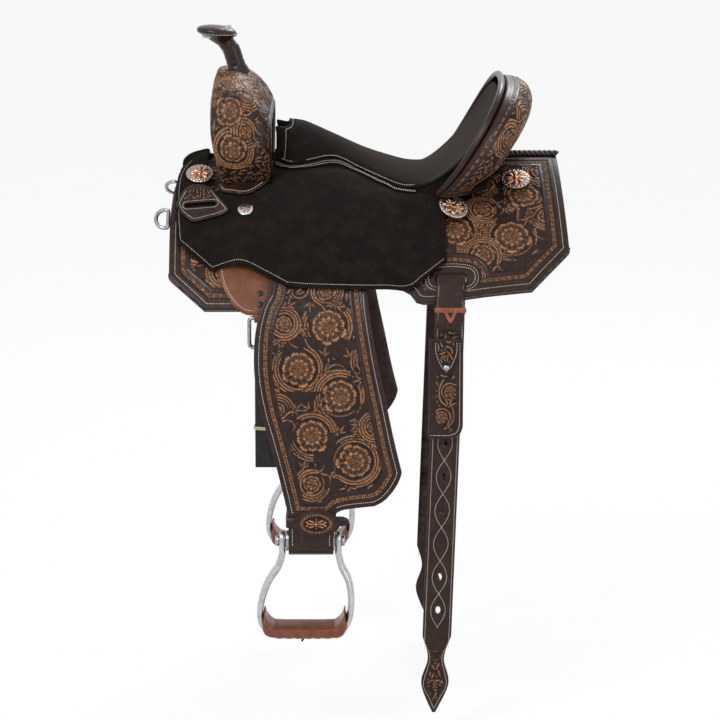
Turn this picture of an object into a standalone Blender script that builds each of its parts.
"""Western barrel racing saddle, built as a saddler builds it: a tree, layers of leather
laid over it, and fenders, stirrups, billets and rings that hang from it.

Frame: metres, +Z up, -X to the horn, -Y to the near (left) side. The origin is on the
centre line at the ridge of the horse's back.
Every sheet of leather is cut flat, in x along the saddle and s down from the ridge, and
then laid on a path in the YZ plane at its own depth d.
"""

import bpy
import bmesh
from math import atan2, ceil, cos, floor, pi, radians, sin, sqrt, tau
from mathutils import Matrix, Vector

# Back of the horse: a ridge that falls at RIDGE_ANGLE, steepens to SIDE_ANGLE over
# SIDE_DROP and then turns down faster, at BARREL_RADIUS
RIDGE_ANGLE = radians(20)
SIDE_ANGLE = radians(50)
SIDE_DROP = 0.250
BARREL_RADIUS = 0.222

# How far the back sinks under the seat
ROCK = 0.042

# Thickness of the layers, from the horse outwards, and the air between them
FLEECE = 0.0090
SKIRT_LEATHER = 0.0045
RIGGING_LEATHER = 0.0040
BAR = 0.0100
FENDER_LEATHER = 0.0050
JOCKEY_LEATHER = 0.0040
EDGING_LEATHER = 0.0026
SEAT_LEATHER = 0.0035
COVER_LEATHER = 0.0045
AIR = 0.0005
LAYER_AIR = 0.0015
EDGE_LIFT = 0.0007
FENDER_AIR = 0.0042
FENDER_LEAVES = 0.285

# Skirts
SKIRT_FRONT = -0.292
SKIRT_REAR = 0.321
SKIRT_FRONT_DROP = 0.311
SKIRT_REAR_DROP = 0.283
SEAM_GAP = 0.0015
FRONT_ARCH_HALF = 0.036
CHANNEL_HALF = 0.046
JOCKEY_MEET = 0.008

# Tree
BAR_FRONT = -0.222
BAR_REAR = 0.205
BAR_TOP = 0.036
BAR_BOTTOM = 0.100
FORK_FRONT = -0.2245
FORK_RAKE = 0.012
FORK_REAR = -0.142
FORK_TOP = 0.1385
FORK_HALF = 0.150
GULLET_HALF = 0.072
GULLET_TOP = 0.066
CANTLE_TOP = 0.133
CANTLE_BACK = 0.232
CANTLE_FRONT = 0.118
CANTLE_HALF = 0.176
CANTLE_ROLL = 0.0345

# Horn
HORN_X = -0.191
HORN_LEAN = radians(17)
HORN_REACH = 0.014
HORN_NECK_R = 0.0100
HORN_WRAP = 0.0035
HORN_CAP_R = 0.0245
HORN_HEIGHT = 0.087

# Seat: 15 inches from the fork to the cantle
SEAT_FRONT = -0.131
HANDHOLE = 0.020
HANDHOLE_TURN = 0.2
FOAM = 0.0065
GROUND_SEAT = 0.0045

# Fender, stirrup leather and stirrup
FENDER_X = -0.0735
NECK_X = -0.0752
FENDER_WIDTH = 0.145
NECK_WIDTH = 0.069
FLARE_RADIUS = 0.250
SWING_S = 0.120
BOLT_Z = -0.5470
SLEEVE_R = 0.0160
BOLT_R = 0.0050
STIRRUP_X = -0.0765
STIRRUP_LEAN = 0.009
EAR_HALF = 0.0430
STIRRUP_HALF = 0.0705
TREAD_Z = -0.6870
TREAD_DEPTH = 0.050
SWING = radians(42)
JOCKEY_DROP = 0.285

# Billets
BILLET_WIDTH = 0.0445
BILLET_X = 0.1390
BILLET_LEATHER = 0.0055
BILLET_SLOT = 0.2640
BILLET_BOTTOM = -0.823
BILLET_HOLE_PITCH = 0.0532
BILLET_HOLES = 6
BILLET_BEND = 0.0025

# Hardware
CONCHO_R = 0.0235
FRONT_CONCHO_R = 0.0222
SMALL_CONCHO_R = 0.0115
DEE_WIRE = 0.0032


def srgb(code):
    """Linear red, green and blue of a hex colour."""
    parts = [int(code[i : i + 2], 16) / 255 for i in (0, 2, 4)]
    return [c / 12.92 if c <= 0.04045 else ((c + 0.055) / 1.055) ** 2.4 for c in parts] + [1.0]


LOOKS = {
    "tooled_leather": ("33201a", 0.42, 0.0),
    "suede": ("15100d", 0.95, 0.0),
    "seat_suede": ("1f1814", 0.92, 0.0),
    "fleece": ("14110f", 1.0, 0.0),
    "rigging": ("6b3d26", 0.45, 0.0),
    "tread_leather": ("7a4632", 0.5, 0.0),
    "lace": ("241713", 0.5, 0.0),
    "brown_lace": ("7f4a35", 0.5, 0.0),
    "tree_wood": ("9a7446", 0.6, 0.0),
    "foam": ("b9ab7e", 0.9, 0.0),
    "silver": ("b9bdc2", 0.25, 1.0),
    "aluminium": ("b4b8bb", 0.32, 1.0),
    "steel": ("8c9094", 0.3, 1.0),
    "black_strap": ("101114", 0.4, 0.0),
}


def material(look):
    """A material of its own for one piece."""
    colour, roughness, metallic = LOOKS[look]
    made = bpy.data.materials.new(look)
    made.use_nodes = True
    shader = made.node_tree.nodes["Principled BSDF"]
    shader.inputs["Base Color"].default_value = srgb(colour)
    shader.inputs["Roughness"].default_value = roughness
    shader.inputs["Metallic"].default_value = metallic
    made.diffuse_color = srgb(colour)
    return made


def start():
    """An empty scene."""
    for thing in list(bpy.data.objects):
        bpy.data.objects.remove(thing, do_unlink=True)


class Path:
    """A line in the YZ plane of straight and round stretches, turning from outward to down.

    A stretch is (length, curvature), with the curvature measured on the line itself. The
    angle is 0 where the line runs outward and 90 degrees where it runs down.
    """

    def __init__(self, y, z, angle, stretches):
        self.joints = [(0.0, y, z, angle)]
        self.bends = []
        for length, curve in stretches:
            s, y, z, angle = self.joints[-1]
            self.bends.append(curve)
            y, z, turned = self.step(y, z, angle, curve, length)
            self.joints.append((s + length, y, z, turned))
        self.length = self.joints[-1][0]

    @staticmethod
    def step(y, z, angle, curve, length):
        if curve == 0:
            return y + length * cos(angle), z - length * sin(angle), angle
        turned = angle + curve * length
        return (
            y + (sin(turned) - sin(angle)) / curve,
            z + (cos(turned) - cos(angle)) / curve,
            turned,
        )

    def place(self, s):
        last = len(self.bends) - 1
        k = next((i for i in range(last) if s < self.joints[i + 1][0]), last)
        start_s, y, z, angle = self.joints[k]
        return self.step(y, z, angle, self.bends[k], s - start_s)

    def at(self, s, d):
        """The point at length s and depth d outward from the line."""
        y, z, angle = self.place(s)
        return y + d * sin(angle), z + d * cos(angle)

    def angle(self, s):
        return self.place(s)[2]

    def s_at_height(self, z, low=0.0, high=None):
        """Where the line comes down to the height z."""
        high = self.length if high is None else high
        for _ in range(50):
            middle = (low + high) / 2
            if self.at(middle, 0)[1] > z:
                low = middle
            else:
                high = middle
        return low


BACK_CURVE = (SIDE_ANGLE - RIDGE_ANGLE) / SIDE_DROP
BACK = Path(0.0, 0.0, RIDGE_ANGLE, [(SIDE_DROP, BACK_CURVE), (0.5, 1 / BARREL_RADIUS)])


def follow(d, start_s, end_s):
    """Stretches that follow the back at depth d from one length down it to another."""
    stretches = []
    for low, high, curve in ((0.0, SIDE_DROP, BACK_CURVE), (SIDE_DROP, 1.0, 1 / BARREL_RADIUS)):
        length = min(high, end_s) - max(low, start_s)
        if length > 1e-6:
            stretches.append((length * (1 + curve * d), curve / (1 + curve * d)))
    return stretches


# Depths of the layers' inner faces
SKIRT_IN = FLEECE + AIR
SKIRT_OUT = SKIRT_IN + SKIRT_LEATHER
RIGGING_IN = SKIRT_OUT + 2 * AIR
RIGGING_OUT = RIGGING_IN + RIGGING_LEATHER
BAR_IN = SKIRT_OUT + LAYER_AIR
BAR_OUT = BAR_IN + BAR
FENDER_IN = RIGGING_OUT + FENDER_AIR
FENDER_OUT = FENDER_IN + FENDER_LEATHER
JOCKEY_LOW = RIGGING_OUT + 2 * AIR
JOCKEY_OVER_FENDER = FENDER_OUT + FENDER_AIR
JOCKEY_OVER_BAR = BAR_OUT + LAYER_AIR
ON_JOCKEY = JOCKEY_LEATHER + LAYER_AIR


def smooth(t):
    t = min(max(t, 0.0), 1.0)
    return t * t * (3 - 2 * t)


def rock(x, s):
    """How far the back lies below its path, near the ridge under the seat."""
    along = smooth((x + 0.040) / 0.130) * smooth((0.225 - x) / 0.110)
    return ROCK * along * smooth((0.135 - s) / 0.100)


def on_back(x, s, d):
    """The point of the back's side at x, at length s down it and depth d."""
    y, z = BACK.at(s, d)
    return y, z - rock(x, s)


def jockey_depth(x, s):
    """Depth of the jockey's inner face: it rises over the bar and over the fender."""
    bar = smooth((BAR_BOTTOM + 0.085 - s) / 0.060) * smooth((x - BAR_FRONT + 0.045) / 0.030)
    reach = FENDER_WIDTH / 2 + 0.036
    fender = smooth((reach + 0.042 - abs(x - FENDER_X)) / 0.042) * smooth((s - 0.035) / 0.050)
    return max(
        JOCKEY_LOW + (JOCKEY_OVER_BAR - JOCKEY_LOW) * bar,
        JOCKEY_LOW + (JOCKEY_OVER_FENDER - JOCKEY_LOW) * fender,
    )


def curve_through(points, per_span):
    """Points on a smooth open curve through the given ones."""
    out = []
    for i in range(len(points) - 1):
        p0 = points[max(i - 1, 0)]
        p1, p2 = points[i], points[i + 1]
        p3 = points[min(i + 2, len(points) - 1)]
        for k in range(per_span):
            t = k / per_span
            out.append(
                tuple(
                    0.5
                    * (
                        2 * b
                        + (c - a) * t
                        + (2 * a - 5 * b + 4 * c - e) * t**2
                        + (3 * b - a - 3 * c + e) * t**3
                    )
                    for a, b, c, e in zip(p0, p1, p2, p3)
                )
            )
    out.append(tuple(points[-1]))
    return out


def outline(*runs, per_span=3):
    """A closed outline of smooth runs that meet at corners."""
    out = []
    for run in runs:
        points = curve_through(run, per_span) if len(run) > 2 else [tuple(p) for p in run]
        if out and sum((a - b) ** 2 for a, b in zip(out[-1], points[0])) < 1e-12:
            points = points[1:]
        out += points
    if sum((a - b) ** 2 for a, b in zip(out[-1], out[0])) < 1e-12:
        out.pop()
    return out


def box_outline(x0, x1, y0, y1):
    return [(x0, y0), (x1, y0), (x1, y1), (x0, y1)]


def oval_outline(x, y, half_x, half_y, sides=10, tilt=0.0):
    """An ellipse, or with unlike halves a slot's rounded shape."""
    out = []
    for k in range(sides):
        a = tau * k / sides
        u, v = half_x * cos(a), half_y * sin(a)
        out.append((x + u * cos(tilt) - v * sin(tilt), y + u * sin(tilt) + v * cos(tilt)))
    return out


def slot_outline(x, y, half_long, half_wide, tilt=0.0, round_sides=4):
    """A slot with round ends."""
    out = []
    for end in (1, -1):
        for k in range(round_sides + 1):
            a = -pi / 2 + pi * k / round_sides
            u = end * (half_long - half_wide + half_wide * cos(a))
            v = end * half_wide * sin(a)
            out.append((x + u * cos(tilt) - v * sin(tilt), y + u * sin(tilt) + v * cos(tilt)))
    return out


def mesh_object(name, mesh, look, smooth_angle=35):
    thing = bpy.data.objects.new(name, mesh)
    bpy.context.collection.objects.link(thing)
    mesh.materials.clear()
    mesh.materials.append(material(look))
    mesh.shade_smooth()
    mesh.set_sharp_from_angle(angle=radians(smooth_angle))
    return thing


def face_out(made):
    """Turns every face of a closed shape outward."""
    bmesh.ops.recalc_face_normals(made, faces=made.faces)
    if made.calc_volume(signed=True) < 0:
        bmesh.ops.reverse_faces(made, faces=made.faces)


def prism(points, low, high):
    """A bmesh prism on an outline in its first two coordinates, between two depths."""
    made = bmesh.new()
    floor = made.faces.new([made.verts.new((p[0], p[1], low)) for p in points])
    grown = bmesh.ops.extrude_face_region(made, geom=[floor])
    tops = [v for v in grown["geom"] if isinstance(v, bmesh.types.BMVert)]
    bmesh.ops.translate(made, verts=tops, vec=(0, 0, high - low))
    face_out(made)
    return made


def to_mesh(made, name="shape"):
    mesh = bpy.data.meshes.new(name)
    made.to_mesh(mesh)
    made.free()
    return mesh


def cut(mesh, cutters, operation="DIFFERENCE"):
    """A mesh with each cutter mesh taken away, or joined, or kept in common."""
    for cutter in cutters:
        thing = bpy.data.objects.new("target", mesh)
        tool = bpy.data.objects.new("cutter", cutter)
        for each in (thing, tool):
            bpy.context.collection.objects.link(each)
        boolean = thing.modifiers.new("cut", "BOOLEAN")
        boolean.object = tool
        boolean.operation = operation
        boolean.solver = "EXACT"
        graph = bpy.context.evaluated_depsgraph_get()
        mesh = bpy.data.meshes.new_from_object(thing.evaluated_get(graph))
        for each in (thing, tool):
            bpy.data.objects.remove(each, do_unlink=True)
    return mesh


# Where layers of leather bend, along the saddle and down it; all layers share these lines
X_LINES = (-0.267, -0.252, -0.237, -0.224, -0.203, -0.182, -0.040, -0.0075, 0.025, 0.045,
           0.0625, 0.090, 0.115, 0.1425, 0.170, 0.1975, 0.225)
S_LINES = (0.035, 0.060, 0.085, 0.110, 0.135, 0.160, 0.185, 0.220, 0.250, 0.280, 0.310)


def score(made, axis, lines, below=1.0):
    """Cuts lines across flat leather, where it lies above a length down the side."""
    normal = [0, 0, 0]
    normal[axis] = 1
    for line in lines:
        place = [0, 0, 0]
        place[axis] = line
        faces = [f for f in made.faces if f.calc_center_median().y < below]
        geometry = list({v for f in faces for v in f.verts} | {e for f in faces for e in f.edges})
        bmesh.ops.bisect_plane(
            made, geom=geometry + faces, dist=1e-6, plane_co=place, plane_no=normal
        )


def split_cells(made):
    """Splits each four-sided cell along the same diagonal, so that layers bend alike."""
    for face in [f for f in made.faces if len(f.verts) == 4 and abs(f.normal.z) > 0.9]:
        corners = sorted(face.verts, key=lambda v: v.co.x + v.co.y)
        if not any(corners[0] in e.verts and corners[3] in e.verts for e in face.edges):
            bmesh.utils.face_split(face, corners[0], corners[3])


def flat_leather(points, thickness, holes, x_lines, s_lines, below=1.0):
    """Leather cut flat on an outline, with holes, and scored where it will bend."""
    mesh = to_mesh(prism(points, 0.0, thickness))
    holes = [to_mesh(prism(h, -0.010, thickness + 0.010)) for h in holes]
    mesh = cut(mesh, holes)
    made = bmesh.new()
    made.from_mesh(mesh)
    score(made, 1, s_lines)
    score(made, 0, x_lines, below)
    split_cells(made)
    bmesh.ops.triangulate(made, faces=made.faces)
    return made


def inside(lines, values):
    """The lines that lie within a range of values, clear of its ends."""
    return [n for n in lines if min(values) + 0.001 < n < max(values) - 0.001]


def lay(name, look, side, points, thickness, depth, holes=(), below=1.0):
    """Leather cut flat and laid on the back; depth is a number or a function of x and s."""
    x_lines = inside(X_LINES, [p[0] for p in points])
    s_lines = inside(S_LINES, [p[1] for p in points])
    made = flat_leather(points, thickness, holes, x_lines, s_lines, below)
    for v in made.verts:
        base = depth(v.co.x, v.co.y) if callable(depth) else depth
        y, z = on_back(v.co.x, v.co.y, base + v.co.z)
        v.co = (v.co.x, side * y, z)
    face_out(made)
    return mesh_object(name, to_mesh(made, name), look)


def closed_grid(rows, outer, inner):
    """A closed skin between two grids of points of the same size."""
    made = bmesh.new()
    columns = len(outer) // rows
    top = [made.verts.new(p) for p in outer]
    low = [made.verts.new(p) for p in inner]
    for i in range(rows - 1):
        for j in range(columns - 1):
            a, b = i * columns + j, i * columns + j + 1
            c, e = (i + 1) * columns + j + 1, (i + 1) * columns + j
            if outer[a][1] + outer[c][1] < 0:
                a, b, c, e = b, c, e, a
            made.faces.new((top[a], top[b], top[c]))
            made.faces.new((top[a], top[c], top[e]))
            made.faces.new((low[c], low[b], low[a]))
            made.faces.new((low[e], low[c], low[a]))
    rim = [j for j in range(columns)]
    rim += [i * columns + columns - 1 for i in range(1, rows)]
    rim += [(rows - 1) * columns + j for j in range(columns - 2, -1, -1)]
    rim += [i * columns for i in range(rows - 2, 0, -1)]
    for a, b in zip(rim, rim[1:] + rim[:1]):
        made.faces.new((top[b], top[a], low[a], low[b]))
    bmesh.ops.triangulate(made, faces=made.faces)
    face_out(made)
    return made


def revolve(profile, sides, at, axis):
    """A turned solid: profile is (radius, height) from the axis, out and back to it."""
    made = bmesh.new()
    rings = []
    for r, h in profile:
        if r < 1e-7:
            rings.append([made.verts.new((0, 0, h))])
        else:
            turn = [tau * k / sides for k in range(sides)]
            rings.append([made.verts.new((r * cos(a), r * sin(a), h)) for a in turn])
    closed = len(rings[0]) > 1
    pairs = list(zip(rings, rings[1:])) + ([(rings[-1], rings[0])] if closed else [])
    for low, high in pairs:
        for k in range(sides):
            n = (k + 1) % sides
            if len(low) == 1 and len(high) > 1:
                made.faces.new((low[0], high[k], high[n]))
            elif len(high) == 1 and len(low) > 1:
                made.faces.new((low[k], low[n], high[0]))
            elif len(low) > 1:
                made.faces.new((low[k], low[n], high[n], high[k]))
    face_out(made)
    turn = Vector((0, 0, 1)).rotation_difference(Vector(axis)).to_matrix().to_4x4()
    bmesh.ops.transform(made, matrix=Matrix.Translation(at) @ turn, verts=made.verts)
    return made


def sweep(points, ring, closed=False):
    """A section swept along points; ring gives the section's offsets at point k.

    Each section is a list of (across, up) offsets in the plane square to the path, where
    up is nearest to the Z axis or, on an upright path, to the X axis.
    """
    made = bmesh.new()
    count = len(points)
    rings = []
    for k, p in enumerate(points):
        before = points[(k - 1) % count] if closed or k else p
        after = points[(k + 1) % count] if closed or k < count - 1 else p
        way = (Vector(after) - Vector(before)).normalized()
        across, up = ring_axes(way)
        rings.append([made.verts.new(Vector(p) + across * u + up * v) for u, v in ring(k)])
    pairs = list(zip(rings, rings[1:])) + ([(rings[-1], rings[0])] if closed else [])
    sides = len(rings[0])
    for low, high in pairs:
        for k in range(sides):
            n = (k + 1) % sides
            made.faces.new((low[k], low[n], high[n], high[k]))
    if not closed:
        made.faces.new(rings[0])
        made.faces.new(rings[-1])
    face_out(made)
    return made


SWEEP_NORMAL = [Vector((0, 1, 0))]


def ring_axes(way):
    """Two axes square to a path: one along the plane's normal, one in the plane."""
    across = SWEEP_NORMAL[0]
    return across, way.cross(across).normalized()


def swept(name, look, points, section, normal=(0, 1, 0), closed=False):
    SWEEP_NORMAL[0] = Vector(normal).normalized()
    ring = section if callable(section) else lambda k: section
    return mesh_object(name, to_mesh(sweep(points, ring, closed), name), look)


def circle_section(radius, sides=8):
    return [(radius * cos(tau * k / sides), radius * sin(tau * k / sides)) for k in range(sides)]


def surface_frame(x, s, depth, side):
    """A point on the saddle's side and the direction outward there."""
    y, z = on_back(x, s, depth)
    angle = BACK.angle(s)
    return Vector((x, side * y, z)), Vector((0, side * sin(angle), cos(angle)))


SIDES = (("left", -1), ("right", 1))


def skirt_outline():
    """Skirt: square corners cut off behind and below, arched over the withers in front."""
    front, rear = SKIRT_FRONT, SKIRT_REAR
    low, rear_low = SKIRT_FRONT_DROP, SKIRT_REAR_DROP
    return outline(
        [(rear - 0.012, SEAM_GAP), (rear, rear_low - 0.074)],
        [(rear, rear_low - 0.074), (rear - 0.004, rear_low - 0.064), (rear - 0.058, rear_low - 0.003)],
        [(rear - 0.058, rear_low - 0.003), (0.190, 0.288), (0.110, 0.300), (0.086, 0.297)],
        [(0.086, 0.297), (0.066, 0.278), (0.0, 0.272), (-0.080, 0.278), (-0.140, low)],
        [(-0.140, low), (front + 0.055, low)],
        [(front + 0.055, low), (front + 0.004, 0.264), (front, 0.254)],
        [(front, 0.254), (front, 0.136), (front + 0.012, 0.066), (-0.228, FRONT_ARCH_HALF)],
        [(-0.228, FRONT_ARCH_HALF), (-0.150, CHANNEL_HALF), (0.140, CHANNEL_HALF)],
        [(0.140, CHANNEL_HALF), (0.190, 0.030), (0.215, 0.004)],
        [(0.215, 0.004), (rear - 0.012, SEAM_GAP)],
    )


def billet_slot():
    centre = BILLET_SLOT - 0.0030
    return box_outline(BILLET_X - BILLET_WIDTH / 2 - 0.001, BILLET_X + BILLET_WIDTH / 2 + 0.001,
                       centre - 0.0068, centre + 0.0068)


def make_skirts():
    shape = skirt_outline()
    for name, side in SIDES:
        lay("skirt_lining_" + name, "fleece", side, shape, FLEECE, 0.0, [billet_slot()], 0.14)
        lay("skirt_" + name, "tooled_leather", side, shape, SKIRT_LEATHER, SKIRT_IN,
            [billet_slot()], 0.14)


def jockey_outline():
    """The suede jockey, cut round the fork's foot."""
    front, drop, top = SKIRT_FRONT + 0.007, JOCKEY_DROP, BAR_BOTTOM + 0.006
    return outline(
        [(BAR_FRONT - 0.016, JOCKEY_MEET), (BAR_FRONT - 0.016, top)],
        [(BAR_FRONT - 0.016, top), (FORK_REAR + 0.007, top)],
        [(FORK_REAR + 0.007, top), (FORK_REAR + 0.007, 0.034)],
        [(FORK_REAR + 0.007, 0.034), (-0.060, 0.026), (0.010, 0.044), (0.060, 0.072), (0.132, 0.086)],
        [(0.132, 0.086), (0.132, drop - 0.046)],
        [(0.132, drop - 0.046), (0.100, drop - 0.020), (0.062, drop), (-0.061, drop),
         (-0.112, drop - 0.003)],
        [(-0.112, drop - 0.003), (-0.148, 0.264), (-0.178, 0.250), (-0.205, 0.250), (-0.227, 0.255)],
        [(-0.227, 0.255), (front + 0.005, 0.205)],
        [(front + 0.005, 0.205), (front, 0.140), (front + 0.001, 0.078), (front + 0.012, 0.042),
         (front + 0.026, 0.022), (front + 0.040, JOCKEY_MEET), (BAR_FRONT - 0.016, JOCKEY_MEET)],
    )


def make_jockeys():
    shape = jockey_outline()
    for name, side in SIDES:
        lay("jockey_" + name, "suede", side, shape, JOCKEY_LEATHER, jockey_depth)


RIGGING_TURN = 0.322
RING_FOLD = DEE_WIRE + AIR


def rigging_path():
    """Down the back and round under the rigging ring's upper bar."""
    y, z = BACK.at(0.0, RIGGING_IN)
    down = follow(RIGGING_IN, 0.0, RIGGING_TURN)
    return Path(y, z, RIDGE_ANGLE, down + [(pi * RING_FOLD, 1 / RING_FOLD), (0.006, 0)])


RIGGING_LINE = rigging_path()


def ring_place():
    """Height and distance out of the rigging ring's upper bar, in the fold's middle."""
    y, z, angle = RIGGING_LINE.joints[-3][1:]
    return y - RING_FOLD * sin(angle), z - RING_FOLD * cos(angle)


def make_rigging():
    """In-skirt rigging leather, folded at its foot round the ring, two rivets through it."""
    stretch = RIGGING_LINE.joints[-3][0] / RIGGING_TURN
    end = RIGGING_LINE.length
    rim = [(-0.020, 0.245), (-0.060, 0.268), (-0.112, 0.290), (-0.120, 0.312)]
    front = [(-0.161, 0.319), (-0.179, 0.316), (-0.199, 0.298), (-0.216, 0.258), (-0.225, 0.170)]
    shape = outline(
        [(-0.020, 0.170), (-0.020, 0.245 * stretch)],
        [(x, s * stretch) for x, s in rim],
        [(-0.120, 0.312 * stretch), (-0.120, end)],
        [(-0.120, end), (-0.161, end)],
        [(-0.161, end), (-0.161, 0.319 * stretch)],
        [(x, s * stretch) for x, s in front],
        [(-0.225, 0.170), (-0.020, 0.170)],
    )
    for name, side in SIDES:
        thing = lay_on("rigging", "rigging", side, shape, RIGGING_LEATHER, RIGGING_LINE)
        rivets = []
        for s in (0.288, 0.304):
            at, out = surface_frame(-0.152, s, RIGGING_OUT - 0.0015, side)
            profile = [(0, 0), (0.0048, 0), (0.0048, 0.0016), (0.0036, 0.0019), (0, 0.0020)]
            rivets.append(to_mesh(revolve(profile, 10, at, out)))
        mesh = cut(thing.data, rivets, "UNION")
        bpy.data.objects.remove(thing)
        mesh_object("rigging_leather_" + name, mesh, "rigging")


def bar_outline():
    """A tree bar: a long paddle, narrower in front."""
    return outline(
        [(BAR_FRONT, 0.050), (BAR_FRONT + 0.030, BAR_TOP), (0.0, BAR_TOP), (BAR_REAR - 0.030, BAR_TOP)],
        [(BAR_REAR - 0.030, BAR_TOP), (BAR_REAR, 0.060), (BAR_REAR - 0.010, 0.090)],
        [(BAR_REAR - 0.010, 0.090), (BAR_REAR - 0.050, BAR_BOTTOM)],
        [(BAR_REAR - 0.050, BAR_BOTTOM), (BAR_FRONT + 0.010, BAR_BOTTOM)],
        [(BAR_FRONT + 0.010, BAR_BOTTOM), (BAR_FRONT, 0.050)],
        per_span=2,
    )


GROOVE_HALF = 0.060
STRAP_TOP = 0.082


def make_bars():
    """The bars, with the groove that the stirrup leather hangs in."""
    for name, side in SIDES:
        made = flat_leather(bar_outline(), BAR, [], inside(X_LINES, (BAR_FRONT, BAR_REAR)),
                            inside(S_LINES, (BAR_TOP, BAR_BOTTOM)))
        groove = prism(
            box_outline(FENDER_X - GROOVE_HALF, FENDER_X + GROOVE_HALF, STRAP_TOP - 0.012, 0.2),
            FENDER_IN - BAR_IN - FENDER_AIR, BAR + 0.01)
        made = bmesh_of(cut(to_mesh(made), [to_mesh(groove)]))
        for v in made.verts:
            y, z = on_back(v.co.x, v.co.y, BAR_IN + v.co.z)
            v.co = (v.co.x, side * y, z)
        face_out(made)
        mesh_object("tree_bar_" + name, to_mesh(made), "tree_wood")


def bmesh_of(mesh):
    made = bmesh.new()
    made.from_mesh(mesh)
    bmesh.ops.triangulate(made, faces=made.faces)
    return made


def fork_arch(grow, shrink_top):
    """Half of the fork's outer line in (y, z), from its foot to the crown."""
    foot = BACK.at(BAR_BOTTOM - 0.002 + min(grow, 0.0), BAR_OUT + 2 * LAYER_AIR)
    half, top = FORK_HALF, FORK_TOP
    return [
        (foot[0] + max(grow, 0.0), foot[1]),
        (half - 0.016 + grow, foot[1] + 0.030),
        (half + grow, foot[1] + 0.062),
        (half - 0.004 + grow * 0.9, top - 0.038 - shrink_top * 0.5 + grow * 0.3),
        (half - 0.030 + grow * 0.7, top - 0.012 - shrink_top * 0.8 + grow * 0.7),
        (0.060, top - 0.001 - shrink_top + grow),
        (0.0, top - shrink_top + grow),
    ]


def gullet_arch():
    """Half of the gullet's line in (y, z), from its foot to the crown."""
    foot = BACK.at(BAR_TOP + 0.006, BAR_OUT + 2 * LAYER_AIR)
    return [
        foot,
        (GULLET_HALF - 0.022, foot[1] + 0.026),
        (GULLET_HALF - 0.026, GULLET_TOP - 0.022),
        (GULLET_HALF - 0.048, GULLET_TOP - 0.004),
        (0.0, GULLET_TOP),
    ]


def whole_arch(half, per_span=3):
    """A whole arch from the left foot over the crown to the right foot."""
    right = curve_through(half, per_span)
    return [(-y, z) for y, z in right] + right[-2::-1]


def arch_solid(stations):
    """A solid arch lofted through stations of outer and inner points."""
    made = bmesh.new()
    rings = []
    for outer, inner in stations:
        rings.append([made.verts.new(p) for p in outer + inner[::-1]])
    for a, b in zip(rings, rings[1:]):
        for k in range(len(a)):
            n = (k + 1) % len(a)
            made.faces.new((a[k], a[n], b[n]))
            made.faces.new((a[k], b[n], b[k]))
    for ring in (rings[0], rings[-1]):
        count = len(ring)
        for k in range(count // 2 - 1):
            made.faces.new((ring[k], ring[k + 1], ring[count - 2 - k], ring[count - 1 - k]))
    bmesh.ops.triangulate(made, faces=made.faces)
    face_out(made)
    return made


def same_count(outer, inner):
    """The inner line resampled to as many points as the outer one."""
    total = [0.0]
    for p, q in zip(inner, inner[1:]):
        total.append(total[-1] + sqrt((p[0] - q[0]) ** 2 + (p[1] - q[1]) ** 2))
    out = []
    for k in range(len(outer)):
        want = total[-1] * k / (len(outer) - 1)
        i = min(next((n for n, t in enumerate(total[1:]) if t >= want - 1e-12), 0), len(inner) - 2)
        t = (want - total[i]) / (total[i + 1] - total[i])
        out.append(tuple(a + (b - a) * t for a, b in zip(inner[i], inner[i + 1])))
    return out


# How far the swell's edge is rounded off, front to rear: (share of depth, inset, fall of the top)
SWELL_ROUND = (
    (0.00, 0.014, 0.010),
    (0.04, 0.006, 0.003),
    (0.12, 0.000, 0.000),
    (0.45, 0.000, 0.000),
    (0.70, 0.002, 0.012),
    (0.88, 0.007, 0.030),
    (1.00, 0.018, 0.046),
)


def swell_stations(reach):
    """The fork's sections from front to rear, grown by reach; its face rakes back at the foot."""
    stations = []
    for share, inset, fall in SWELL_ROUND:
        outer = whole_arch(fork_arch(reach - inset, fall), 2)
        inner = same_count(outer, whole_arch(gullet_arch(), 2))
        lines = []
        for line in (outer, inner):
            points = []
            for y, z in line:
                front = FORK_FRONT + FORK_RAKE * smooth((0.080 - z) / 0.100) - reach
                points.append((front + (FORK_REAR + reach - front) * share, y, z))
            lines.append(points)
        stations.append(lines)
    return stations


def swell_skin(outside, inside):
    """Leather over the fork's front, top and rear, between two distances from the wood."""
    layers = []
    for reach in (outside, inside):
        stations = swell_stations(reach)
        rows = [stations[0][1]] + [outer for outer, _ in stations] + [stations[-1][1]]
        layers.append([p for row in rows for p in row])
    return closed_grid(len(SWELL_ROUND) + 2, layers[0], layers[1])


def tongue_outline():
    """The rounded foot of the swell cover, sewn down over the jockey."""
    top, low = BAR_BOTTOM + 0.0045, 0.130
    return outline(
        [(FORK_FRONT + 0.004, top), (FORK_REAR + 0.001, top)],
        [(FORK_REAR + 0.001, top), (FORK_REAR - 0.010, top + 0.010), (-0.168, low - 0.003),
         (-0.184, low), (-0.198, low - 0.006), (FORK_FRONT + 0.010, top + 0.010),
         (FORK_FRONT + 0.004, top)],
    )


def make_fork():
    """The fork, and the leather cover that hides it."""
    mesh_object("tree_fork", to_mesh(arch_solid(swell_stations(0))), "tree_wood")
    mesh = to_mesh(swell_skin(COVER_LEATHER + 2 * AIR, 2 * AIR))
    flaps = []
    for _, side in SIDES:
        tongue = lay("tongue", "tooled_leather", side, tongue_outline(), COVER_LEATHER,
                     lambda x, s: jockey_depth(x, s) + ON_JOCKEY)
        flaps.append(tongue.data)
        bpy.data.objects.remove(tongue)
    mesh_object("swell_cover", cut(mesh, flaps, "UNION"), "tooled_leather")


def horn_axis():
    return Vector((-sin(HORN_LEAN), 0, cos(HORN_LEAN)))


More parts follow.
